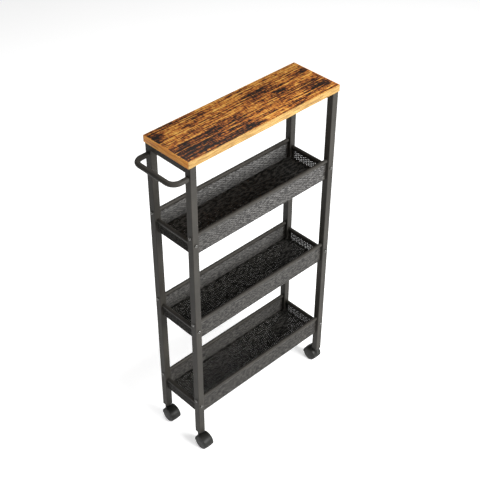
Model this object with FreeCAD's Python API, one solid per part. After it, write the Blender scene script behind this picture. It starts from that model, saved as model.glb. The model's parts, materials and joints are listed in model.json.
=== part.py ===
import FreeCAD, Part
import math
import os

# Slim rolling pantry cart: a wood-effect board on four square-tube legs, three mesh
# baskets hung between the legs, a push handle at one end and four twin-wheel casters.
#
# Frame, in millimetres: origin on the floor under the middle of the cart's outline,
# +X along the cart away from the handle, +Y to the left of someone pushing it, +Z up.
# "near" is the handle end, "far" the other end, "left" is +Y and "right" is -Y.

# ---- driving dimensions ------------------------------------------------------------

CART_HEIGHT = 1100.0
BOARD_LENGTH = 573.0
BOARD_WIDTH = 182.0
BOARD_THICKNESS = 21.0
EDGE_BAND = 1.0

LEG_SIDE = 22.0
LEG_WALL = 1.2
LEG_CORNER = 1.8
END_OVERHANG = 4.5

RAIL_RADIUS = 6.0
RAIL_WALL = 1.5
TOP_TIER_RAIL_HEIGHT = 846.0
TIER_PITCH = 321.5
END_RAIL_DROP = 25.5
BASKET_DEPTH = 66.5
MESH_THICKNESS = 1.2
FLOOR_LIFT = 2.0
LEG_CLEARANCE = 0.5

HANDLE_RADIUS = 8.0
HANDLE_HEIGHT = 1042.0
HANDLE_REACH = 50.0
HANDLE_BEND = 26.0

BOLT_RADIUS = 3.0
BOLT_HEAD_RADIUS = 5.3
BOLT_HEAD_HEIGHT = 3.4
BOLT_GRIP_PAST_LEG = 15.0
BOLT_SOCKET = 4.0
BOLT_SOCKET_DEPTH = 1.8
BOLT_HOLE_GAP = 0.2
THREAD_GAP = 0.05
INSERT_LENGTH = 18.0

SCREW_RADIUS = 2.25
SCREW_HEAD_RADIUS = 4.4
SCREW_HEAD_HEIGHT = 2.6
SCREW_BITE = 14.0
SCREW_SPREAD = 45.0

PLUG_FLANGE = 2.0
PLUG_DEPTH = 20.0
PLUG_GAP = 0.1

LEG_FOOT_HEIGHT = 58.0
WHEEL_RADIUS = 24.0
WHEEL_INNER_X = 6.2
WHEEL_SHOULDER_X = 14.2
WHEEL_RIM_X = 17.2
WHEEL_OUTER_X = 19.0
WHEEL_GROOVE_RADIUS = 15.5
CASTER_TRAIL = 18.0
AXLE_RADIUS = 3.0
AXLE_HALF_LENGTH = 13.8
AXLE_BORE_END_X = 14.3
RUNNING_GAP = 0.05
HOOD_GAP = 0.8
HOOD_HALF_WIDTH = 16.6
HOOD_SKIN = 2.2
HOOD_EDGE_SKIN = 1.0
HOOD_WEB_HALF = 5.5
HOOD_SKIRT_HEIGHT = 19.0
HOOD_WEB_BOTTOM = 9.0
BOSS_RADIUS = 8.5
BOSS_TOP = 54.0
SWIVEL_GAP = 0.3
STEM_RADIUS = 4.0
STEM_COLLAR_FLATS = 13.0
SWIVEL_PIN_RADIUS = 3.0
SWIVEL_PIN_BOTTOM = 33.8
SWIVEL_BORE_BOTTOM = 33.0

# ---- places worked out from them ---------------------------------------------------

HANDLE_OUTSIDE = HANDLE_REACH + HANDLE_RADIUS - END_OVERHANG
WHEEL_OUTSIDE = WHEEL_OUTER_X - LEG_SIDE / 2 - END_OVERHANG
CART_LENGTH = HANDLE_OUTSIDE + BOARD_LENGTH + WHEEL_OUTSIDE
BOARD_NEAR = HANDLE_OUTSIDE - CART_LENGTH / 2
BOARD_FAR = BOARD_NEAR + BOARD_LENGTH
BOARD_BOTTOM = CART_HEIGHT - BOARD_THICKNESS

LEG_HALF = LEG_SIDE / 2
LEG_NEAR = BOARD_NEAR + END_OVERHANG + LEG_HALF
LEG_FAR = BOARD_FAR - END_OVERHANG - LEG_HALF
LEG_ASIDE = BOARD_WIDTH / 2 - LEG_HALF
LEG_BOTTOM = LEG_FOOT_HEIGHT + PLUG_FLANGE

SIDE_RAIL_START = LEG_NEAR + LEG_HALF
SIDE_RAIL_LENGTH = LEG_FAR - LEG_NEAR - LEG_SIDE
END_RAIL_LENGTH = 2 * LEG_ASIDE - LEG_SIDE
TOP_RAIL_BOTTOM = BOARD_BOTTOM - LEG_SIDE
BOLT_LENGTH = LEG_SIDE + BOLT_GRIP_PAST_LEG

TIERS = ("upper", "middle", "lower")
ENDS = {"near": (LEG_NEAR, -1), "far": (LEG_FAR, 1)}
SIDES = {"left": (LEG_ASIDE, 1), "right": (-LEG_ASIDE, -1)}

# Each caster trails sideways from its leg: the near pair to the right, the far pair
# to the left, as free casters stop wherever the cart was last pushed.
CASTER_TRAIL_SIDE = {"near": -1, "far": 1}

X_AXIS = FreeCAD.Vector(1, 0, 0)
Y_AXIS = FreeCAD.Vector(0, 1, 0)
Z_AXIS = FreeCAD.Vector(0, 0, 1)


# ---- small builders ----------------------------------------------------------------

def point(x, y, z):
    return FreeCAD.Vector(x, y, z)


def box(low, high):
    """Box between two opposite corners."""
    size = [b - a for a, b in zip(low, high)]
    return Part.makeBox(size[0], size[1], size[2], point(*low))


def rod(radius, start, direction, length):
    """Solid round bar from a start point along a direction."""
    return Part.makeCylinder(radius, length, start, direction)


def round_tube(radius, wall, start, direction, length):
    return rod(radius, start, direction, length).cut(rod(radius - wall, start, direction, length))


def soft_box(low, high, axis, radius):
    """Box whose four edges along one axis ("X", "Y" or "Z") are rounded."""
    solid = box(low, high)
    index = "XYZ".index(axis)
    along = []
    for edge in solid.Edges:
        run = edge.Vertexes[0].Point - edge.Vertexes[1].Point
        if abs(run[index]) > 0.99 * run.Length:
            along.append(edge)
    return solid.makeFillet(radius, along)


def square_tube(low, high, axis):
    """Square tube along one axis, with rounded corners inside and out."""
    index = "XYZ".index(axis)
    inner_low = [a if i == index else a + LEG_WALL for i, a in enumerate(low)]
    inner_high = [b if i == index else b - LEG_WALL for i, b in enumerate(high)]
    outer = soft_box(low, high, axis, LEG_CORNER)
    return outer.cut(soft_box(inner_low, inner_high, axis, LEG_CORNER - LEG_WALL))


def hexagon_prism(flats, start, direction, depth):
    """Hexagonal prism across the given flats."""
    corner = flats / math.sqrt(3)
    ring = [
        point(corner * math.cos(math.radians(60 * k)), corner * math.sin(math.radians(60 * k)), 0)
        for k in range(7)
    ]
    prism = Part.Face(Part.makePolygon(ring)).extrude(point(0, 0, depth))
    turn = FreeCAD.Rotation(Z_AXIS, direction)
    return prism.transformGeometry(FreeCAD.Placement(start, turn).toMatrix())


def revolve_about_x(outline):
    """Solid turned about the X axis from a closed list of edges in the XZ plane."""
    face = Part.Face(Part.Wire(outline))
    return face.revolve(point(0, 0, 0), X_AXIS, 360)


def line(a, b):
    return Part.LineSegment(point(a[0], 0, a[1]), point(b[0], 0, b[1])).toShape()


def arc(a, middle, b):
    return Part.Arc(point(a[0], 0, a[1]), point(middle[0], 0, middle[1]), point(b[0], 0, b[1])).toShape()


def save(name, *solids):
    """Write one node: a single solid, or a group of separate identical ones."""
    shape = solids[0] if len(solids) == 1 else Part.makeCompound(list(solids))
    bad = [s for s in shape.Solids if not s.isValid()]
    print(name, len(shape.Solids), "solid(s)", "INVALID" if bad or not shape.Solids else "ok")
    shape.exportStep(os.path.join("parts", name + ".step"))


# ---- heights of the baskets --------------------------------------------------------

def side_rail_height(tier):
    return TOP_TIER_RAIL_HEIGHT - TIER_PITCH * TIERS.index(tier)


def end_rail_height(tier):
    return side_rail_height(tier) - END_RAIL_DROP


def basket_bottom(tier):
    return side_rail_height(tier) - BASKET_DEPTH


# ---- tabletop ----------------------------------------------------------------------

def screw_places():
    """Points under the board where the wood screws enter it."""
    return [
        point(x, side * SCREW_SPREAD, BOARD_BOTTOM)
        for x in (LEG_NEAR, LEG_FAR)
        for side in (-1, 1)
    ]


def tabletop_board():
    half_width = BOARD_WIDTH / 2 - EDGE_BAND
    board = box(
        (BOARD_NEAR + EDGE_BAND, -half_width, BOARD_BOTTOM),
        (BOARD_FAR - EDGE_BAND, half_width, CART_HEIGHT),
    )
    for place in screw_places():
        board = board.cut(rod(SCREW_RADIUS + THREAD_GAP, place, Z_AXIS, SCREW_BITE + 1))
    return board


def edge_bands():
    """Two long strips over the full length, two short ones between them."""
    half = BOARD_WIDTH / 2
    inner = half - EDGE_BAND
    strips = [
        box((BOARD_NEAR, inner, BOARD_BOTTOM), (BOARD_FAR, half, CART_HEIGHT)),
        box((BOARD_NEAR, -half, BOARD_BOTTOM), (BOARD_FAR, -inner, CART_HEIGHT)),
        box((BOARD_NEAR, -inner, BOARD_BOTTOM), (BOARD_NEAR + EDGE_BAND, inner, CART_HEIGHT)),
        box((BOARD_FAR - EDGE_BAND, -inner, BOARD_BOTTOM), (BOARD_FAR, inner, CART_HEIGHT)),
    ]
    return strips


def tabletop_screw(place):
    """Pan-head wood screw, driven up through the top rail."""
    head_bottom = point(place.x, place.y, TOP_RAIL_BOTTOM - SCREW_HEAD_HEIGHT)
    head = rod(SCREW_HEAD_RADIUS, head_bottom, Z_AXIS, SCREW_HEAD_HEIGHT)
    head = head.makeFillet(SCREW_HEAD_HEIGHT / 2, [head.Edges[2]])
    slot = hexagon_prism(SCREW_RADIUS, head_bottom, Z_AXIS, SCREW_HEAD_HEIGHT / 2)
    shank_start = point(place.x, place.y, TOP_RAIL_BOTTOM)
    shank = rod(SCREW_RADIUS, shank_start, Z_AXIS, LEG_SIDE + SCREW_BITE)
    return head.cut(slot).fuse(shank).removeSplitter()


def top_rail(end):
    """Square rail under one end of the board, between the two legs of that end."""
    x = ENDS[end][0]
    inner = LEG_ASIDE - LEG_HALF
    rail = square_tube(
        (x - LEG_HALF, -inner, TOP_RAIL_BOTTOM), (x + LEG_HALF, inner, BOARD_BOTTOM), "Y"
    )
    for side in (-1, 1):
        start = point(x, side * SCREW_SPREAD, TOP_RAIL_BOTTOM - 1)
        rail = rail.cut(rod(SCREW_RADIUS + BOLT_HOLE_GAP, start, Z_AXIS, LEG_SIDE + 2))
    return rail


# ---- legs and fasteners ------------------------------------------------------------

def bolt_places():
    """Head seat and direction of every frame bolt.

    At each basket a leg takes one bolt into the side rail and, lower down, one into
    the end rail. The near legs also take one each for the handle, from the inside.
    """
    places = []
    for end, (leg_x, x_sign) in ENDS.items():
        for leg_y, y_sign in SIDES.values():
            for tier in TIERS:
                seat = point(leg_x + x_sign * LEG_HALF, leg_y, side_rail_height(tier))
                places.append((seat, X_AXIS * -x_sign))
                seat = point(leg_x, leg_y + y_sign * LEG_HALF, end_rail_height(tier))
                places.append((seat, Y_AXIS * -y_sign))
            if end == "near":
                seat = point(leg_x + LEG_HALF, leg_y, HANDLE_HEIGHT)
                places.append((seat, X_AXIS * -1))
    return places


def frame_bolt(seat, direction):
    """Button-head bolt with a hexagon socket; its head sits on the leg."""
    head = rod(BOLT_HEAD_RADIUS, point(0, 0, -BOLT_HEAD_HEIGHT), Z_AXIS, BOLT_HEAD_HEIGHT)
    crown = min(head.Edges, key=lambda edge: edge.CenterOfMass.z)
    head = head.makeFillet(BOLT_HEAD_HEIGHT * 0.7, [crown])
    socket_start = point(0, 0, -BOLT_HEAD_HEIGHT)
    head = head.cut(hexagon_prism(BOLT_SOCKET, socket_start, Z_AXIS, BOLT_SOCKET_DEPTH))
    bolt = head.fuse(rod(BOLT_RADIUS, point(0, 0, 0), Z_AXIS, BOLT_LENGTH)).removeSplitter()
    bolt.Placement = FreeCAD.Placement(seat, FreeCAD.Rotation(Z_AXIS, direction))
    return bolt


def threaded_insert(seat, direction):
    """Threaded sleeve pressed into the end of a rail or of the handle."""
    start = seat + direction * LEG_SIDE
    tube_radius = HANDLE_RADIUS if seat.z == HANDLE_HEIGHT else RAIL_RADIUS
    sleeve = rod(tube_radius - RAIL_WALL - THREAD_GAP, start, direction, INSERT_LENGTH)
    return sleeve.cut(rod(BOLT_RADIUS + THREAD_GAP, start, direction, INSERT_LENGTH))


def leg(end, side):
    x = ENDS[end][0]
    y = SIDES[side][0]
    tube = square_tube(
        (x - LEG_HALF, y - LEG_HALF, LEG_BOTTOM), (x + LEG_HALF, y + LEG_HALF, BOARD_BOTTOM), "Z"
    )
    for seat, direction in bolt_places():
        if abs(seat.x - x) <= LEG_HALF and abs(seat.y - y) <= LEG_HALF:
            start = seat - direction
            hole = rod(BOLT_RADIUS + BOLT_HOLE_GAP, start, direction, LEG_SIDE + 2)
            tube = tube.cut(hole)
    return tube


def leg_plug(x, y):
    """Moulded plug in the foot of a leg, threaded for the caster stem."""
    flange = soft_box(
        (x - LEG_HALF, y - LEG_HALF, LEG_FOOT_HEIGHT), (x + LEG_HALF, y + LEG_HALF, LEG_BOTTOM),
        "Z", LEG_CORNER,
    )
    inside = LEG_HALF - LEG_WALL - PLUG_GAP
    body = box(
        (x - inside, y - inside, LEG_BOTTOM), (x + inside, y + inside, LEG_BOTTOM + PLUG_DEPTH)
    )
    bore_start = point(x, y, LEG_FOOT_HEIGHT)
    bore = rod(STEM_RADIUS + THREAD_GAP, bore_start, Z_AXIS, PLUG_FLANGE + PLUG_DEPTH)
    corners = [e for e in body.Edges if abs(e.Vertexes[0].Point.z - e.Vertexes[1].Point.z) > 1]
    return flange.fuse(body.makeFillet(LEG_CORNER / 2, corners)).cut(bore).removeSplitter()


# ---- handle ------------------------------------------------------------------------

def handle():
    """U-shaped round tube in a level plane, its two ends butted on the near legs."""
    face_x = LEG_NEAR - LEG_HALF
    out_x = face_x - HANDLE_REACH
    bend_y = LEG_ASIDE - HANDLE_BEND
    corner = HANDLE_BEND * (1 - math.sqrt(0.5))
    z = HANDLE_HEIGHT
    path = []
    arms = {1: None, -1: None}
    for side in arms:
        start = point(face_x, side * LEG_ASIDE, z)
        arm_end = point(out_x + HANDLE_BEND, side * LEG_ASIDE, z)
        bend_middle = point(out_x + corner, side * (LEG_ASIDE - corner), z)
        grip_end = point(out_x, side * bend_y, z)
        arms[side] = (start, arm_end, bend_middle, grip_end)
    left, right = arms[1], arms[-1]
    path.append(Part.LineSegment(left[0], left[1]).toShape())
    path.append(Part.Arc(left[1], left[2], left[3]).toShape())
    path.append(Part.LineSegment(left[3], right[3]).toShape())
    path.append(Part.Arc(right[3], right[2], right[1]).toShape())
    path.append(Part.LineSegment(right[1], right[0]).toShape())
    spine = Part.Wire(path)
    outer = Part.Wire(Part.makeCircle(HANDLE_RADIUS, left[0], X_AXIS))
    inner = Part.Wire(Part.makeCircle(HANDLE_RADIUS - RAIL_WALL, left[0], X_AXIS))
    return spine.makePipe(Part.Face(outer)).cut(spine.makePipe(Part.Face(inner)))


# ---- baskets -----------------------------------------------------------------------

def side_rail(tier, side):
    start = point(SIDE_RAIL_START, SIDES[side][0], side_rail_height(tier))
    return round_tube(RAIL_RADIUS, RAIL_WALL, start, X_AXIS, SIDE_RAIL_LENGTH)


def end_rail(tier, end):
    start = point(ENDS[end][0], -END_RAIL_LENGTH / 2, end_rail_height(tier))
    return round_tube(RAIL_RADIUS, RAIL_WALL, start, Y_AXIS, END_RAIL_LENGTH)


def side_mesh(tier, side):
    """Upright panel welded under a side rail."""
    y = SIDES[side][0]
    half = MESH_THICKNESS / 2
    top = side_rail_height(tier) - RAIL_RADIUS
    return box(
        (SIDE_RAIL_START, y - half, basket_bottom(tier)),
        (SIDE_RAIL_START + SIDE_RAIL_LENGTH, y + half, top),
    )


def end_mesh(tier, end):
    """Shorter upright panel welded under an end rail."""
    x = ENDS[end][0]
    half = MESH_THICKNESS / 2
    top = end_rail_height(tier) - RAIL_RADIUS
    return box(
        (x - half, -END_RAIL_LENGTH / 2, basket_bottom(tier)), (x + half, END_RAIL_LENGTH / 2, top)
    )


def floor_mesh(tier):
    """Basket floor between the four panels, notched round the legs."""
    half = MESH_THICKNESS / 2
    low = basket_bottom(tier) + FLOOR_LIFT
    high = low + MESH_THICKNESS
    floor = box((LEG_NEAR + half, half - LEG_ASIDE, low), (LEG_FAR - half, LEG_ASIDE - half, high))
    notch = LEG_HALF + LEG_CLEARANCE
    for x, _ in ENDS.values():
        for y, _ in SIDES.values():
            floor = floor.cut(box((x - notch, y - notch, low - 1), (x + notch, y + notch, high + 1)))
    return floor


# ---- casters -----------------------------------------------------------------------
# Built with the wheel axle on the X axis, then lifted and moved under a leg. The swivel
# axis stands CASTER_TRAIL away from the axle along Y, on the side opposite the trail.

def place_caster_piece(solid, end, side):
    x = ENDS[end][0]
    y = SIDES[side][0] + CASTER_TRAIL_SIDE[end] * CASTER_TRAIL
    moved = solid.copy()
    moved.translate(point(x, y, WHEEL_RADIUS))
    return moved


def wheel(outward):
    """Twin-caster wheel with a domed, grooved outer face and a blind hub bore."""
    edge = WHEEL_RADIUS - 1.5
    round_off = 3.0
    shoulder = (WHEEL_SHOULDER_X, WHEEL_RADIUS)
    rim = (WHEEL_RIM_X, WHEEL_RADIUS - round_off)
    bend = round_off * (1 - math.sqrt(0.5))
    rim_middle = (WHEEL_RIM_X - bend, WHEEL_RADIUS - bend)
    bore = AXLE_RADIUS + RUNNING_GAP

    # The face is a shallow cap of a sphere centred on the axle line.
    rise = WHEEL_OUTER_X - WHEEL_RIM_X
    dome_radius = (rim[1] ** 2 + rise ** 2) / (2 * rise)
    halfway = rim[1] / 2
    halfway_x = WHEEL_OUTER_X - dome_radius + math.sqrt(dome_radius ** 2 - halfway ** 2)
    dome_middle = (halfway_x, halfway)

    outline = [
        line((WHEEL_INNER_X, bore), (WHEEL_INNER_X, edge)),
        line((WHEEL_INNER_X, edge), (WHEEL_INNER_X + 1.5, WHEEL_RADIUS)),
        line((WHEEL_INNER_X + 1.5, WHEEL_RADIUS), shoulder),
        arc(shoulder, rim_middle, rim),
        arc(rim, dome_middle, (WHEEL_OUTER_X, 0)),
        line((WHEEL_OUTER_X, 0), (AXLE_BORE_END_X, 0)),
        line((AXLE_BORE_END_X, 0), (AXLE_BORE_END_X, bore)),
        line((AXLE_BORE_END_X, bore), (WHEEL_INNER_X, bore)),
    ]
    solid = revolve_about_x(outline)
    groove_start = point(WHEEL_OUTER_X - 1.6, 0, 0)
    groove = round_tube(WHEEL_GROOVE_RADIUS, 1.2, groove_start, X_AXIS, 3)
    solid = solid.cut(groove)
    if outward < 0:
        solid = solid.mirror(point(0, 0, 0), X_AXIS)
    return solid


def axle():
    return rod(AXLE_RADIUS, point(-AXLE_HALF_LENGTH, 0, 0), X_AXIS, 2 * AXLE_HALF_LENGTH)


def hood(trail_side):
    """Crowned cover over the two wheels, its centre web and the swivel boss."""
    inner = WHEEL_RADIUS + HOOD_GAP
    end_radius = inner + HOOD_EDGE_SKIN
    crown_radius = inner + HOOD_SKIN
    left = (-HOOD_HALF_WIDTH, end_radius)
    right = (HOOD_HALF_WIDTH, end_radius)
    barrel = revolve_about_x([
        line((-HOOD_HALF_WIDTH, 0), left),
        arc(left, (0, crown_radius), right),
        line(right, (HOOD_HALF_WIDTH, 0)),
        line((HOOD_HALF_WIDTH, 0), (-HOOD_HALF_WIDTH, 0)),
    ])
    swivel_y = -trail_side * CASTER_TRAIL
    boss_start = point(0, swivel_y, 0)
    boss = rod(BOSS_RADIUS, boss_start, Z_AXIS, BOSS_TOP - WHEEL_RADIUS)
    boss_top = max(boss.Edges, key=lambda edge: edge.CenterOfMass.z)
    boss = boss.makeFillet(1.2, [boss_top])
    body = barrel.fuse(boss)
    wheel_room = HOOD_HALF_WIDTH + BOSS_RADIUS
    for sign in (-1, 1):
        start = point(sign * HOOD_WEB_HALF, 0, 0)
        body = body.cut(rod(inner, start, X_AXIS * sign, wheel_room))
    skirt = HOOD_SKIRT_HEIGHT - WHEEL_RADIUS
    web_bottom = HOOD_WEB_BOTTOM - WHEEL_RADIUS
    reach = 3 * WHEEL_RADIUS
    for sign in (-1, 1):
        sides = (sign * HOOD_WEB_HALF, sign * reach)
        body = body.cut(box((min(sides), -reach, -reach), (max(sides), reach, skirt)))
    body = body.cut(box((-reach, -reach, -reach), (reach, reach, web_bottom)))
    below_skirt = box((-reach, -reach, web_bottom), (reach, reach, skirt))
    core = rod(inner - HOOD_SKIN, point(-reach, 0, 0), X_AXIS, 2 * reach)
    body = body.cut(below_skirt.cut(core))
    body = body.cut(rod(AXLE_RADIUS + THREAD_GAP / 2, point(-reach, 0, 0), X_AXIS, 2 * reach))
    bore_start = point(0, swivel_y, SWIVEL_BORE_BOTTOM - WHEEL_RADIUS)
    bore = rod(SWIVEL_PIN_RADIUS + RUNNING_GAP, bore_start, Z_AXIS, BOSS_TOP)
    return body.cut(bore).removeSplitter()


def stem(end, side):
    """Threaded stem with a hexagon collar and the pin that the hood turns on."""
    x = ENDS[end][0]
    y = SIDES[side][0]
    collar_bottom = BOSS_TOP + SWIVEL_GAP
    pin = rod(
        SWIVEL_PIN_RADIUS, point(x, y, SWIVEL_PIN_BOTTOM), Z_AXIS, collar_bottom - SWIVEL_PIN_BOTTOM
    )
    collar = hexagon_prism(
        STEM_COLLAR_FLATS, point(x, y, collar_bottom), Z_AXIS, LEG_FOOT_HEIGHT - collar_bottom
    )
    thread = rod(STEM_RADIUS, point(x, y, LEG_FOOT_HEIGHT), Z_AXIS, PLUG_DEPTH)
    return pin.fuse([collar, thread]).removeSplitter()


# ---- write every node --------------------------------------------------------------

def write_tabletop():
    save("tabletop_board", tabletop_board())
    save("tabletop_edge_bands", *edge_bands())
    save("tabletop_screws", *[tabletop_screw(place) for place in screw_places()])


def write_frame():
    for end in ENDS:
        save(f"top_rail_{end}", top_rail(end))
        for side in SIDES:
            save(f"leg_{end}_{side}", leg(end, side))
    save("handle", handle())
    save("frame_bolts", *[frame_bolt(*place) for place in bolt_places()])
    save("threaded_inserts", *[threaded_insert(*place) for place in bolt_places()])
    save("leg_plugs", *[leg_plug(x, y) for x, _ in ENDS.values() for y, _ in SIDES.values()])


def write_basket(tier):
    for side in SIDES:
        save(f"{tier}_basket_{side}_rail", side_rail(tier, side))
        save(f"{tier}_basket_{side}_mesh", side_mesh(tier, side))
    for end in ENDS:
        save(f"{tier}_basket_{end}_rail", end_rail(tier, end))
        save(f"{tier}_basket_{end}_mesh", end_mesh(tier, end))
    save(f"{tier}_basket_floor_mesh", floor_mesh(tier))


def write_caster(end, side):
    name = f"caster_{end}_{side}"
    save(f"{name}_stem", stem(end, side))
    save(f"{name}_hood", place_caster_piece(hood(CASTER_TRAIL_SIDE[end]), end, side))
    save(f"{name}_axle", place_caster_piece(axle(), end, side))
    for label, outward in (("near_wheel", -1), ("far_wheel", 1)):
        save(f"{name}_{label}", place_caster_piece(wheel(outward), end, side))


os.makedirs("parts", exist_ok=True)
write_tabletop()
write_frame()
for tier_name in TIERS:
    write_basket(tier_name)
for end_name in ENDS:
    for side_name in SIDES:
        write_caster(end_name, side_name)
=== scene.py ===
import json
import math

import bmesh
import bpy
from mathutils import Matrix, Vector


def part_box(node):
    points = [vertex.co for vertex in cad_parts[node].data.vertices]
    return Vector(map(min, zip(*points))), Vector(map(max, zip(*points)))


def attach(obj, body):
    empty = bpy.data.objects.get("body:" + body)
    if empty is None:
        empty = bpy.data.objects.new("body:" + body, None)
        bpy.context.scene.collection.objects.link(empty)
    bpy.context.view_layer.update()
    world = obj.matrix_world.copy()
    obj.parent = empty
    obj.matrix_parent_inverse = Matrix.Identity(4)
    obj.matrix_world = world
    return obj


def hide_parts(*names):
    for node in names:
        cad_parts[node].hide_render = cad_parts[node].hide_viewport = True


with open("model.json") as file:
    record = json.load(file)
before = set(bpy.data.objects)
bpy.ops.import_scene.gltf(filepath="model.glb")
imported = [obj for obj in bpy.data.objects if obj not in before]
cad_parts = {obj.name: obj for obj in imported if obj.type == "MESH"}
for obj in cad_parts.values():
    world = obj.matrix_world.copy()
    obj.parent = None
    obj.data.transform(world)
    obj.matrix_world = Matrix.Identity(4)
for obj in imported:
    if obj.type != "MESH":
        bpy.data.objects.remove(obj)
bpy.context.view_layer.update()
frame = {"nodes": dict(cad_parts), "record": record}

# The looks of a slim rolling pantry cart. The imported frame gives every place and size, in metres:
# +X along the cart away from the handle, -Y is the side the camera stands on, +Z up.

MM = 0.001
TIERS = ("upper", "middle", "lower")
ENDS = ("near", "far")
SIDES = ("left", "right")
OUT_X = {"near": -1, "far": 1}
OUT_Y = {"left": 1, "right": -1}

X = Vector((1, 0, 0))
Y = Vector((0, 1, 0))
Z = Vector((0, 0, 1))

BOARD_LOW, BOARD_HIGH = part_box("tabletop_edge_bands")
BOARD_LENGTH = BOARD_HIGH.x - BOARD_LOW.x
BOARD_WIDTH = BOARD_HIGH.y - BOARD_LOW.y
LEG_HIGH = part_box("leg_near_right")[1]

# ---- camera, light and floor ---------------------------------------------------------

CAMERA_HEADING = math.radians(46.43)
CAMERA_PITCH = math.radians(38.63)
CAMERA_FROM_BOARD_END = Vector((-1.353, -1.703, 1.429))
CAMERA_LENS = 75
CAMERA_SENSOR = 36
CAMERA_REACH = 50

# Name, place, (width, height) and power in watts of each light; all of them face LIGHT_AIM.
LIGHTS = (
    ("key_light", (0.8, -3.2, 2.0), (2.0, 1.4), 235),
    ("top_light", (0.3, 0.2, 3.8), (2.6, 2.6), 80),
    ("end_light", (-1.9, -0.9, 2.7), (1.0, 1.0), 12),
)
LIGHT_AIM = Vector((0.02, 0, 0.6))
WORLD_STRENGTH = 0.12

FLOOR_REACH = 8.0
FLOOR_GREY = 0.9
FLOOR_ROUGHNESS = 0.8
FLOOR_GLOW = 0.46


def make_camera():
    """A long lens above the handle end's right corner, looking down along the cart."""
    data = bpy.data.cameras.new("camera")
    data.lens = CAMERA_LENS
    data.sensor_width = CAMERA_SENSOR
    data.clip_end = CAMERA_REACH
    camera = bpy.data.objects.new("camera", data)
    camera.location = Vector((BOARD_LOW.x, 0, BOARD_HIGH.z)) + CAMERA_FROM_BOARD_END
    camera.rotation_euler = (math.pi / 2 - CAMERA_PITCH, 0, CAMERA_HEADING - math.pi / 2)
    bpy.context.scene.collection.objects.link(camera)
    bpy.context.scene.camera = camera


def make_light(name, place, size, power):
    data = bpy.data.lights.new(name, "AREA")
    data.shape = "RECTANGLE"
    data.size, data.size_y = size
    data.energy = power
    light = bpy.data.objects.new(name, data)
    light.location = place
    light.rotation_euler = (LIGHT_AIM - Vector(place)).to_track_quat("-Z", "Y").to_euler()
    bpy.context.scene.collection.objects.link(light)


def make_world():
    world = bpy.data.worlds.new("studio")
    world.use_nodes = True
    background = world.node_tree.nodes["Background"]
    background.inputs["Color"].default_value = (1, 1, 1, 1)
    background.inputs["Strength"].default_value = WORLD_STRENGTH
    bpy.context.scene.world = world
    bpy.context.scene.view_settings.view_transform = "Standard"


def make_studio_floor():
    """A plain pale floor that glows a little, so that it stays white round the cart."""
    mesh = bpy.data.meshes.new("floor")
    corners = [(x * FLOOR_REACH, y * FLOOR_REACH, 0) for x, y in ((-1, -1), (1, -1), (1, 1), (-1, 1))]
    mesh.from_pydata(corners, [], [(0, 1, 2, 3)])
    floor = bpy.data.objects.new("floor", mesh)
    bpy.context.scene.collection.objects.link(floor)
    paint = bpy.data.materials.new("floor_paint")
    paint.use_nodes = True
    shader = paint.node_tree.nodes["Principled BSDF"]
    shader.inputs["Base Color"].default_value = (FLOOR_GREY, FLOOR_GREY, FLOOR_GREY, 1)
    shader.inputs["Roughness"].default_value = FLOOR_ROUGHNESS
    shader.inputs["Emission Color"].default_value = (1, 1, 1, 1)
    shader.inputs["Emission Strength"].default_value = FLOOR_GLOW
    mesh.materials.append(paint)


# ---- material helpers ----------------------------------------------------------------

BLOTCH_CORE = 0.35          # share of a blotch's half size that has its full strength
BEVEL_SAMPLES = 4
EDGE_TURN = (0.99, 0.85)    # cosines of the bevel's turn where an edge starts and is fully seen


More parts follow.
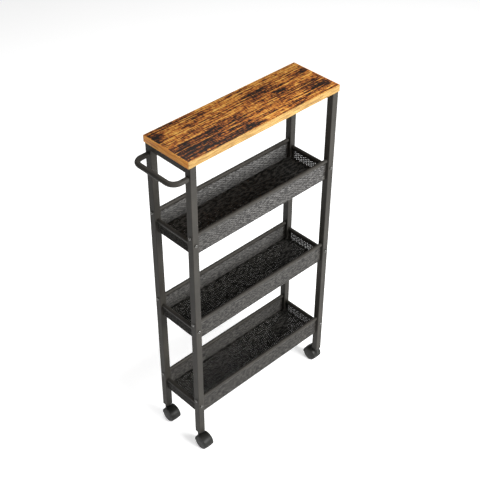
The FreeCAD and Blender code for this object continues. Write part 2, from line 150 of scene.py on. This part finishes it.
class Nodes:
    """Short calls for building one material's node tree in object space."""

    def __init__(self, name):
        self.material = bpy.data.materials.new(name)
        self.material.use_nodes = True
        self.tree = self.material.node_tree
        self.shader = self.tree.nodes["Principled BSDF"]
        self.place = self.tree.nodes.new("ShaderNodeTexCoord").outputs["Object"]

    def link(self, source, socket):
        self.tree.links.new(source, socket)

    def noise(self, scale, detail, roughness=0.55, distortion=0.0):
        """Noise with its own scale along each axis, in features per metre."""
        stretch = self.tree.nodes.new("ShaderNodeMapping")
        stretch.inputs["Scale"].default_value = scale
        self.link(self.place, stretch.inputs["Vector"])
        node = self.tree.nodes.new("ShaderNodeTexNoise")
        node.inputs["Scale"].default_value = 1.0
        node.inputs["Detail"].default_value = detail
        node.inputs["Roughness"].default_value = roughness
        node.inputs["Distortion"].default_value = distortion
        self.link(stretch.outputs["Vector"], node.inputs["Vector"])
        return node.outputs["Fac"]

    def ramp(self, value, *stops):
        """Colour ramp; each stop is (place, colour)."""
        node = self.tree.nodes.new("ShaderNodeValToRGB")
        elements = node.color_ramp.elements
        while len(elements) < len(stops):
            elements.new(0.5)
        for element, (place, colour) in zip(elements, stops):
            element.position = place
            element.color = (*colour, 1)
        self.link(value, node.inputs["Fac"])
        return node.outputs["Color"]

    def mix(self, factor, a, b):
        """Colour a at factor 0 and b at factor 1, each a socket or a plain colour."""
        node = self.tree.nodes.new("ShaderNodeMix")
        node.data_type = "RGBA"
        for value, socket in ((factor, node.inputs[0]), (a, node.inputs[6]), (b, node.inputs[7])):
            if isinstance(value, tuple):
                socket.default_value = (*value, 1)
            else:
                self.link(value, socket)
        return node.outputs[2]

    def math(self, operation, a, b=None, c=None):
        node = self.tree.nodes.new("ShaderNodeMath")
        node.operation = operation
        for value, socket in zip((a, b, c), node.inputs):
            if isinstance(value, (int, float)):
                socket.default_value = value
            elif value is not None:
                self.link(value, socket)
        return node.outputs["Value"]

    def span(self, value, low, high, to_low=0.0, to_high=1.0):
        """Value mapped from one range to another, clamped."""
        node = self.tree.nodes.new("ShaderNodeMapRange")
        for socket, number in zip(node.inputs[1:5], (low, high, to_low, to_high)):
            socket.default_value = number
        self.link(value, node.inputs[0])
        return node.outputs[0]

    def total(self, start, *terms):
        """Start value plus each source times its weight."""
        value = start
        for source, weight in terms:
            value = self.math("MULTIPLY_ADD", source, weight, value)
        return value

    def blotch(self, place, half_size):
        """1 at a place on a level face, fading to 0 at its half length and half width."""
        shift = self.tree.nodes.new("ShaderNodeMapping")
        shift.vector_type = "TEXTURE"
        shift.inputs["Location"].default_value = place
        shift.inputs["Scale"].default_value = (*half_size, 1)
        self.link(self.place, shift.inputs["Vector"])
        distance = self.tree.nodes.new("ShaderNodeVectorMath")
        distance.operation = "LENGTH"
        self.link(shift.outputs["Vector"], distance.inputs[0])
        return self.span(distance.outputs["Value"], BLOTCH_CORE, 1.0, to_low=1.0, to_high=0.0)

    def edges(self, radius):
        """1 along sharp edges and 0 on open faces."""
        rounded = self.tree.nodes.new("ShaderNodeBevel")
        rounded.samples = BEVEL_SAMPLES
        rounded.inputs["Radius"].default_value = radius
        geometry = self.tree.nodes.new("ShaderNodeNewGeometry")
        turn = self.tree.nodes.new("ShaderNodeVectorMath")
        turn.operation = "DOT_PRODUCT"
        self.link(rounded.outputs["Normal"], turn.inputs[0])
        self.link(geometry.outputs["Normal"], turn.inputs[1])
        return self.span(turn.outputs["Value"], *EDGE_TURN)

    def axis(self, name):
        node = self.tree.nodes.new("ShaderNodeSeparateXYZ")
        self.link(self.place, node.inputs[0])
        return node.outputs[name]

    def colour(self, source):
        self.link(source, self.shader.inputs["Base Color"])

    def roughness(self, source):
        self.link(source, self.shader.inputs["Roughness"])

    def bump(self, height, distance, strength):
        node = self.tree.nodes.new("ShaderNodeBump")
        node.inputs["Strength"].default_value = strength
        node.inputs["Distance"].default_value = distance
        self.link(height, node.inputs["Height"])
        self.link(node.outputs["Normal"], self.shader.inputs["Normal"])

    def setting(self, name, value):
        self.shader.inputs[name].default_value = value


# ---- materials -----------------------------------------------------------------------

def scaled(colour, factor, limit=1.0):
    """A colour times a factor, each channel kept under a limit."""
    return tuple(min(limit, factor * channel) for channel in colour)


def powder_coat(name, dark, light):
    """Matte dark powder coat: orange peel, faint cloudy tone and edges rubbed paler."""
    n = Nodes(name)
    cloud = n.noise((14, 14, 9), detail=5.0, roughness=0.6)
    rub = n.noise((90, 90, 90), detail=4.0, roughness=0.7)
    peel = n.noise((900, 900, 900), detail=3.0, roughness=0.5)
    worn = n.math("MULTIPLY", n.edges(0.7 * MM), n.span(rub, 0.42, 0.62))
    tone = n.mix(n.span(cloud, 0.32, 0.7), dark, light)
    n.colour(n.mix(n.math("MULTIPLY", worn, 0.5), tone, scaled(light, 2.6)))
    n.roughness(n.total(0.40, (peel, 0.3), (worn, -0.12)))
    n.setting("Specular IOR Level", 0.16)
    n.bump(peel, distance=0.06 * MM, strength=0.7)
    return n.material


def mesh_coat(name, dark, light, sheen):
    """The same coat on the thin strands, uneven from strand to strand; its lighter, glossier streaks along
    the strands are partly painted glints.
    """
    n = Nodes(name)
    cloud = n.noise((66, 150, 280), detail=2.0)
    # Lighter streaks along the strands: partly random tone of the coat, partly painted glints.
    n.colour(n.mix(n.span(cloud, 0.43, 0.60), dark, light))
    n.roughness(n.span(cloud, 0.43, 0.60, to_low=0.50, to_high=0.34))
    n.setting("Specular IOR Level", sheen)
    return n.material


def moulded_plastic(name, dark, light):
    """Fine spark-eroded texture, with rubbed paler patches and edges."""
    n = Nodes(name)
    rub = n.noise((60, 60, 60), detail=5.0, roughness=0.65)
    grain = n.noise((1800, 1800, 1800), detail=2.0)
    worn = n.math("MULTIPLY", n.edges(0.5 * MM), n.span(rub, 0.4, 0.6))
    tone = n.mix(n.span(rub, 0.4, 0.72), dark, light)
    n.colour(n.mix(n.math("MULTIPLY", worn, 0.5), tone, scaled(light, 2.2)))
    n.roughness(n.span(rub, 0.3, 0.7, to_low=0.52, to_high=0.40))
    n.setting("Specular IOR Level", 0.2)
    n.bump(grain, distance=0.05 * MM, strength=0.7)
    return n.material


def plated_steel(name, colour, roughness):
    """Plating with fine scratches, rubbed brighter along its edges."""
    n = Nodes(name)
    scratch = n.noise((300, 300, 2600), detail=3.0)
    tone = n.mix(n.span(scratch, 0.3, 0.7), scaled(colour, 0.75), colour)
    worn = n.math("MULTIPLY", n.edges(0.4 * MM), 0.6)
    n.colour(n.mix(worn, tone, scaled(colour, 1.8, limit=0.8)))
    n.setting("Metallic", 1.0)
    n.roughness(n.span(scratch, 0.3, 0.7, to_low=roughness * 0.8, to_high=roughness * 1.4))
    n.bump(scratch, distance=0.02 * MM, strength=0.4)
    return n.material


# Blotches of the board's printed grain, the last dark one being a painted shadow at the far end: (share of
# the length from the handle end, share of the width from the right edge, half length and half width in
# millimetres).
DARK_BLOTCHES_AND_SHADOW = (
    (0.12, 0.15, 195, 62), (0.26, 0.38, 50, 20), (0.44, 0.09, 50, 17), (0.70, 0.70, 80, 30),
    # The last entry, at the far end near the right edge, is a painted shadow, not print.
    (0.71, 0.02, 38, 13), (0.02, 0.78, 32, 34), (0.92, 0.25, 60, 36),
)
GOLDEN_BLOTCHES = (
    (0.13, 0.80, 42, 30), (0.49, 0.86, 100, 26), (0.41, 0.55, 60, 22), (0.70, 0.95, 100, 18),
    (0.58, 0.09, 55, 18), (0.93, 0.88, 60, 26),
)
DARK_BLOTCH_DEPTH = -0.33
GOLDEN_BLOTCH_DEPTH = 0.20
BOARD_TONES = (
    (0.04, (0.008, 0.006, 0.005)),
    (0.26, (0.040, 0.014, 0.007)),
    (0.42, (0.155, 0.042, 0.011)),
    (0.60, (0.315, 0.098, 0.018)),
    (0.82, (0.440, 0.185, 0.032)),
    (1.00, (0.540, 0.290, 0.065)),
)
RIM_COLOUR = (0.52, 0.24, 0.06)
RIM_START = 3.0 * MM        # the print starts to wear pale this far from the board's outline
RIM_FULL = 1.4 * MM


def board_face():
    """Rustic laminate: golden brown, with dark saw-cut streaks along the board and dark blotches, one of
    them a painted shadow at the far end.
    """
    n = Nodes("rustic_laminate")
    cloud = n.noise((16, 34, 1), detail=3.0, roughness=0.6, distortion=0.4)
    streak = n.noise((8, 230, 1), detail=2.0, roughness=0.5, distortion=0.2)
    fibre = n.noise((60, 360, 1), detail=2.0, roughness=0.5)
    saw_mark = n.noise((190, 70, 1), detail=2.0, roughness=0.6)

    shade = n.total(-2.72, (cloud, 1.1), (streak, 2.5), (fibre, 1.6), (saw_mark, 1.2))
    for blotches, depth in ((DARK_BLOTCHES_AND_SHADOW, DARK_BLOTCH_DEPTH), (GOLDEN_BLOTCHES, GOLDEN_BLOTCH_DEPTH)):
        for along, across, half_length, half_width in blotches:
            place = (BOARD_LOW.x + along * BOARD_LENGTH, BOARD_LOW.y + across * BOARD_WIDTH, BOARD_HIGH.z)
            shade = n.total(shade, (n.blotch(place, (half_length * MM, half_width * MM)), depth))
    tone = n.ramp(shade, *BOARD_TONES)
    # The print wears pale in a hair line round the rim.
    reach_x = n.math("ABSOLUTE", n.math("SUBTRACT", n.axis("X"), (BOARD_LOW.x + BOARD_HIGH.x) / 2))
    reach_y = n.math("ABSOLUTE", n.axis("Y"))
    rim_x, rim_y = (
        n.span(reach, size / 2 - RIM_START, size / 2 - RIM_FULL)
        for reach, size in ((reach_x, BOARD_LENGTH), (reach_y, BOARD_WIDTH))
    )
    patchy = n.span(fibre, 0.35, 0.6, to_low=0.3, to_high=0.8)
    rim = n.math("MULTIPLY", n.math("MAXIMUM", rim_x, rim_y), patchy)
    n.colour(n.mix(rim, tone, RIM_COLOUR))
    n.roughness(n.span(fibre, 0.3, 0.7, to_low=0.42, to_high=0.60))
    n.setting("Specular IOR Level", 0.15)
    n.bump(shade, distance=0.12 * MM, strength=0.6)
    return n.material


def edge_strip(name, dark, middle, light):
    """Wood-effect strip, streaked along its length, with rubbed corners."""
    n = Nodes(name)
    streak = n.noise((26, 26, 520), detail=4.0, roughness=0.65, distortion=0.4)
    cloud = n.noise((20, 20, 60), detail=3.0)
    shade = n.total(-0.9, (streak, 2.0), (cloud, 0.8))
    tone = n.ramp(shade, (0.15, dark), (0.50, middle), (0.85, light))
    worn = n.math("MULTIPLY", n.edges(0.8 * MM), n.span(cloud, 0.4, 0.6, to_low=0.2, to_high=0.7))
    n.colour(n.mix(worn, tone, light))
    n.roughness(n.span(streak, 0.3, 0.7, to_low=0.45, to_high=0.6))
    n.setting("Specular IOR Level", 0.3)
    n.bump(streak, distance=0.10 * MM, strength=0.5)
    return n.material


# ---- mesh helpers --------------------------------------------------------------------

SMOOTH_DEGREES = 40
TUBE_SIDES = 40


def add_piece(name, mesh, material, body, nodes):
    """Puts a finished mesh in the scene, on its body, standing for the CAD nodes it replaces."""
    piece = bpy.data.objects.new(name, mesh)
    bpy.context.scene.collection.objects.link(piece)
    mesh.materials.append(material)
    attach(piece, body)
    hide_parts(*nodes)


def mesh_from(name, points, faces, smooth_degrees=None):
    """A mesh from points and faces, smooth across edges that turn less than smooth_degrees."""
    mesh = bpy.data.meshes.new(name)
    mesh.from_pydata([tuple(p) for p in points], [], faces)
    finish_mesh(mesh, smooth_degrees)
    return mesh


def finish_mesh(mesh, smooth_degrees):
    work = bmesh.new()
    work.from_mesh(mesh)
    bmesh.ops.recalc_face_normals(work, faces=work.faces)
    work.to_mesh(mesh)
    work.free()
    if smooth_degrees is not None:
        mesh.shade_smooth()
        mesh.set_sharp_from_angle(angle=math.radians(smooth_degrees))
    mesh.update()


def soft_slab(name, low, high, rounding, steps):
    """Slab between two corners with all its edges rounded."""
    work = bmesh.new()
    bmesh.ops.create_cube(work, size=1.0)
    size = high - low
    bmesh.ops.scale(work, vec=size, verts=work.verts)
    bmesh.ops.translate(work, vec=(low + high) / 2, verts=work.verts)
    bmesh.ops.bevel(work, geom=work.edges[:], offset=rounding, segments=steps, profile=0.5, affect="EDGES")
    mesh = bpy.data.meshes.new(name)
    work.to_mesh(mesh)
    work.free()
    finish_mesh(mesh, SMOOTH_DEGREES)
    return mesh


def sweep(path, tangents, ring):
    """Points and faces of a ring of (side, up) offsets carried along a path in a level plane."""
    points, faces = [], []
    count = len(ring)
    for centre, tangent in zip(path, tangents):
        side = tangent.cross(Z).normalized()
        points += [centre + side * a + Z * b for a, b in ring]
    for i in range(len(path) - 1):
        for j in range(count):
            k = (j + 1) % count
            faces.append((i * count + j, i * count + k, (i + 1) * count + k, (i + 1) * count + j))
    faces.append(tuple(range(count)))
    faces.append(tuple(range(len(points) - count, len(points))))
    return points, faces


def circle(radius, count):
    return [
        (radius * math.cos(2 * math.pi * k / count), radius * math.sin(2 * math.pi * k / count))
        for k in range(count)
    ]


def rounded_section(width, height, rounding, steps=2):
    """Ring of (side, up) offsets round a rectangle with rounded corners."""
    ring = []
    for quarter, (a, b) in enumerate(((1, 1), (-1, 1), (-1, -1), (1, -1))):
        for k in range(steps + 1):
            turn = math.pi / 2 * (quarter + k / steps)
            side = a * (width / 2 - rounding) + rounding * math.cos(turn)
            rise = b * (height / 2 - rounding) + rounding * math.sin(turn)
            ring.append((side, rise))
    return ring


def straight_bar(start, end, up, ring):
    """Points and faces of a ring of (side, up) offsets carried from one point to another."""
    side = (end - start).normalized().cross(up)
    points = [base + side * a + up * b for base in (start, end) for a, b in ring]
    count = len(ring)
    faces = [tuple(range(count)), tuple(range(count, 2 * count))]
    for j in range(count):
        k = (j + 1) % count
        faces.append((j, k, count + k, count + j))
    return points, faces


def joined(parts):
    """One list of points and one of faces from several."""
    points, faces = [], []
    for part_points, part_faces in parts:
        first = len(points)
        points += part_points
        faces += [tuple(first + index for index in face) for face in part_faces]
    return points, faces


def lathe(profile, count, centre, axis, across):
    """Points and faces of a (along, radius) profile turned about an axis through a centre."""
    other = axis.cross(across)
    points, faces = [], []
    for along, radius in profile:
        for k in range(count):
            turn = 2 * math.pi * k / count
            points.append(
                centre + axis * along + (across * math.cos(turn) + other * math.sin(turn)) * radius
            )
    for row in range(len(profile) - 1):
        first, second = row * count, (row + 1) * count
        for k in range(count):
            m = (k + 1) % count
            faces.append((first + k, second + k, second + m, first + m))
    faces.append(tuple(range(count)))
    faces.append(tuple(range(len(points) - count, len(points))))
    return points, faces


# ---- tabletop ------------------------------------------------------------------------

BOARD_ROUNDING = 0.25 * MM
STRIP_ROUNDING = 0.4 * MM


def make_tabletop(face_material, end_painted_light_material, side_painted_shade_material):
    """The board with a strip on each edge; the side strips cover the ends of the end strips."""
    low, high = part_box("tabletop_board")
    mesh = soft_slab("tabletop", low, high, BOARD_ROUNDING, steps=2)
    add_piece("tabletop", mesh, face_material, "cart_frame", ["tabletop_board"])
    thickness = low.x - BOARD_LOW.x
    strips = {}
    for end in ENDS:
        outer = BOARD_LOW.x if end == "near" else BOARD_HIGH.x
        inner = outer - OUT_X[end] * thickness
        strips[end] = (
            Vector((min(outer, inner), low.y, low.z)), Vector((max(outer, inner), high.y, high.z))
        )
    for side in SIDES:
        outer = BOARD_HIGH.y if side == "left" else BOARD_LOW.y
        inner = outer - OUT_Y[side] * thickness
        strips[side] = (
            Vector((BOARD_LOW.x, min(outer, inner), low.z)),
            Vector((BOARD_HIGH.x, max(outer, inner), high.z)),
        )
    for name, (corner, opposite) in strips.items():
        mesh = soft_slab(f"edge_band_{name}", corner, opposite, STRIP_ROUNDING, steps=3)
        # End strips take the lighter, painted-light tint; side strips take the darker, painted-shade tint.
        material = end_painted_light_material if name in ENDS else side_painted_shade_material
        add_piece(f"edge_band_{name}", mesh, material, "cart_frame", ["tabletop_edge_bands"])


# ---- rails and handle ----------------------------------------------------------------

RAIL_END_SOFTENING = 0.4 * MM
RAIL_SMOOTH_DEGREES = 35
HANDLE_BEND = 26 * MM
HANDLE_BEND_STEPS = 16


def make_rail(node, material):
    """Round tube with its cut ends slightly softened."""
    low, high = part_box(node)
    size = high - low
    axis = X if size.x > size.y else Y
    length = size.dot(axis)
    radius = size.z / 2
    start = (low + high) / 2 - axis * length / 2
    soft = RAIL_END_SOFTENING
    profile = [(0, radius - soft), (soft, radius), (length - soft, radius), (length, radius - soft)]
    points, faces = lathe(profile, TUBE_SIDES, start, axis, Z)
    mesh = mesh_from(node + "_tube", points, faces, RAIL_SMOOTH_DEGREES)
    add_piece(node + "_tube", mesh, material, "cart_frame", [node])


def make_handle(material):
    """U of round tube in a level plane, its arms butted on the two near legs."""
    low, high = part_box("handle")
    z = (low.z + high.z) / 2
    radius = (high.z - low.z) / 2
    bar_x = low.x + radius
    arm_y = high.y - radius
    path = [Vector((high.x, arm_y, z))]
    tangents = [-X]
    for side, first in ((1, 0), (-1, HANDLE_BEND_STEPS)):
        centre = Vector((bar_x + HANDLE_BEND, side * (arm_y - HANDLE_BEND), z))
        for k in range(HANDLE_BEND_STEPS + 1):
            turn = math.pi / 2 * abs(first - k) / HANDLE_BEND_STEPS
            path.append(centre + Vector((-math.sin(turn), side * math.cos(turn), 0)) * HANDLE_BEND)
            tangents.append(Vector((-math.cos(turn) * side, -math.sin(turn), 0)))
    path.append(Vector((high.x, -arm_y, z)))
    tangents.append(X)
    points, faces = sweep(path, tangents, circle(radius, TUBE_SIDES))
    mesh = mesh_from("handle_tube", points, faces, SMOOTH_DEGREES)
    add_piece("handle_tube", mesh, material, "cart_frame", ["handle"])


# ---- basket mesh ---------------------------------------------------------------------

DIAMOND_LONG = 14.0 * MM
DIAMOND_SHORT = 6.4 * MM
STRAND_THICKNESS = 0.7 * MM
PANEL_STRAND_WIDTH = 3.1 * MM
FLOOR_STRAND_WIDTH = 3.7 * MM
PANEL_TILT = math.radians(28)
FLOOR_TILT = math.radians(22)
KNUCKLE_RISE = 0.6 * MM
KNUCKLE_LAP = 0.28          # share of a strand's width that is lapped at each knuckle
BORDER_THICKNESS = 1.4 * MM
BORDER_ROUNDING = 0.4 * MM
TOP_HEM = 5.0 * MM
FOLD_RADIUS = 1.3 * MM
FOLD_SIDES = 12
SIDE_END_BAR = 8.0 * MM
SHORT_END_BAR = 6.0 * MM
FLOOR_BORDER = 5.0 * MM
LAP = 0.5 * MM


def expanded_sheet(corner, along, across, length, width, strand, tilt, notch=(0, 0)):
    """Expanded-metal sheet: zigzag strands that meet at their knuckles, each tilted from the sheet.

    Rows within notch[1] of either long side stop notch[0] short of both ends.
    """
    face = along.cross(across)
    rows = round(2 * width / DIAMOND_SHORT)
    pitch = width / rows
    waves = round(2 * length / DIAMOND_LONG)
    step = length / waves
    swing = pitch / 2 - KNUCKLE_LAP * strand
    ring = []
    for a, b in ((-1, -1), (1, -1), (1, 1), (-1, 1)):
        flat, rise = a * strand / 2, b * STRAND_THICKNESS / 2
        ring.append((
            flat * math.cos(tilt) - rise * math.sin(tilt), flat * math.sin(tilt) + rise * math.cos(tilt)
        ))
    points, faces = [], []
    for row in range(rows):
        middle = (row + 0.5) * pitch
        skipped = math.ceil(notch[0] / step) if min(middle, width - middle) < notch[1] else 0
        first = len(points)
        for k in range(skipped, waves - skipped + 1):
            way = 1 if (row + k) % 2 else -1
            centre = corner + along * (k * step) + across * (middle + way * swing)
            centre += face * (way * KNUCKLE_RISE)
            points += [centre + across * a + face * b for a, b in ring]
        last = len(points) - 4
        for base in range(first, last, 4):
            for j in range(4):
                m = (j + 1) % 4
                faces.append((base + j, base + m, base + 4 + m, base + 4 + j))
        faces.append((first, first + 1, first + 2, first + 3))
        faces.append((last, last + 1, last + 2, last + 3))
    return points, faces


def make_upright_panel(node, material):
    """Mesh panel under a rail: a hem under the rail, a rolled fold below, a bar at each end."""
    low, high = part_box(node)
    centre = (low + high) / 2
    size = high - low
    if size.x > size.y:
        along, end_bar, tilt = X, SIDE_END_BAR, -PANEL_TILT
    else:
        along, end_bar, tilt = Y, SHORT_END_BAR, PANEL_TILT
    length = size.dot(along)
    start = Vector((centre.x, centre.y, low.z)) - along * length / 2

    def at(reach, rise):
        return start + along * reach + Z * rise

    sheet_length = length - 2 * (end_bar - LAP)
    sheet_width = size.z - TOP_HEM - FOLD_RADIUS + LAP
    parts = [expanded_sheet(
        at(end_bar - LAP, FOLD_RADIUS), along, Z, sheet_length, sheet_width, PANEL_STRAND_WIDTH, tilt
    )]
    hem = rounded_section(BORDER_THICKNESS, TOP_HEM + LAP, BORDER_ROUNDING)
    hem_height = size.z - (TOP_HEM - LAP) / 2
    parts.append(straight_bar(at(0, hem_height), at(length, hem_height), Z, hem))
    fold = circle(FOLD_RADIUS, FOLD_SIDES)
    parts.append(straight_bar(at(0, FOLD_RADIUS), at(length, FOLD_RADIUS), Z, fold))
    post = rounded_section(BORDER_THICKNESS, end_bar, BORDER_ROUNDING)
    for reach in (end_bar / 2, length - end_bar / 2):
        parts.append(straight_bar(at(reach, 0), at(reach, size.z), along, post))
    mesh = mesh_from(node + "_sheet", *joined(parts))
    add_piece(node + "_sheet", mesh, material, "cart_frame", [node])


def make_floor_panel(node, material):
    """Basket floor: a mesh sheet with a flat border, notched round the four legs."""
    low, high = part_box(node)
    centre = (low + high) / 2
    half = (high - low) / 2
    inset = FLOOR_BORDER - LAP
    notch_x = LEG_HIGH.x - low.x
    notch_y = LEG_HIGH.y - low.y
    corner = Vector((low.x + inset, low.y + inset, centre.z))
    notch = (notch_x - inset, notch_y - inset)
    parts = [expanded_sheet(
        corner, X, Y, 2 * (half.x - inset), 2 * (half.y - inset), FLOOR_STRAND_WIDTH, FLOOR_TILT, notch
    )]
    strip = rounded_section(FLOOR_BORDER, BORDER_THICKNESS, BORDER_ROUNDING)
    for side in (-1, 1):
        for along, across, reach, edge in (
            (X, Y, half.x - notch_x, half.y), (Y, X, half.y - notch_y, half.x),
        ):
            middle = centre + across * (side * (edge - FLOOR_BORDER / 2))
            parts.append(straight_bar(middle - along * reach, middle + along * reach, Z, strip))
    mesh = mesh_from(node + "_sheet", *joined(parts))
    add_piece(node + "_sheet", mesh, material, "cart_frame", [node])


def make_basket(tier, rail_paint, panel_paint, floor_paint):
    for place in SIDES + ENDS:
        make_rail(f"{tier}_basket_{place}_rail", rail_paint)
        make_upright_panel(f"{tier}_basket_{place}_mesh", panel_paint)
    make_floor_panel(f"{tier}_basket_floor_mesh", floor_paint)


# ---- the cart ------------------------------------------------------------------------

make_camera()
make_world()
for name, place, size, power in LIGHTS:
    make_light(name, place, size, power)
make_studio_floor()

frame_paint = powder_coat("frame_paint", (0.023, 0.021, 0.018), (0.036, 0.033, 0.028))
mesh_paint = mesh_coat("mesh_paint", (0.007, 0.006, 0.005), (0.048, 0.045, 0.040), 0.25)
# The floor sheets get a darker, less glossy copy of the panels' mesh paint: painted shade for the shade
# that things standing in the baskets cast on them. On the real cart it is the same paint.
floor_mesh_painted_shade = mesh_coat("floor_mesh_painted_shade", (0.003, 0.003, 0.002), (0.040, 0.038, 0.034), 0.10)
laminate = board_face()
# The short end strips are painted lighter and the long side strips darker: painted light and painted shade
# for how the lamps fall on each face. On the real board all four strips are one colour.
end_strip_painted_light = edge_strip("edge_strip_ends_painted_light", (0.38, 0.110, 0.014), (0.66, 0.24, 0.030), (0.76, 0.40, 0.08))
side_strip_painted_shade = edge_strip("edge_strip_sides_painted_shade", (0.15, 0.073, 0.014), (0.32, 0.180, 0.042), (0.46, 0.30, 0.10))

# The nodes that keep their CAD shape take their material by slot.
SLOT_MATERIALS = {
    "board": laminate,
    "edge_band": side_strip_painted_shade,
    "frame_paint": frame_paint,
    "mesh_paint": mesh_paint,
    "caster_plastic": moulded_plastic("caster_plastic", (0.008, 0.008, 0.007), (0.016, 0.016, 0.014)),
    "wheel_plastic": moulded_plastic("wheel_plastic", (0.010, 0.010, 0.009), (0.020, 0.020, 0.018)),
    "steel": plated_steel("zinc_steel", (0.60, 0.59, 0.57), 0.35),
    "bolt_steel": plated_steel("black_zinc", (0.15, 0.147, 0.14), 0.22),
}
for subpart in frame["record"]["subparts"]:
    node = frame["nodes"][subpart["node"]]
    node.data.materials.clear()
    node.data.materials.append(SLOT_MATERIALS[subpart["material_slot"]])

make_tabletop(laminate, end_strip_painted_light, side_strip_painted_shade)
make_handle(frame_paint)
for tier in TIERS:
    make_basket(tier, frame_paint, mesh_paint, floor_mesh_painted_shade)
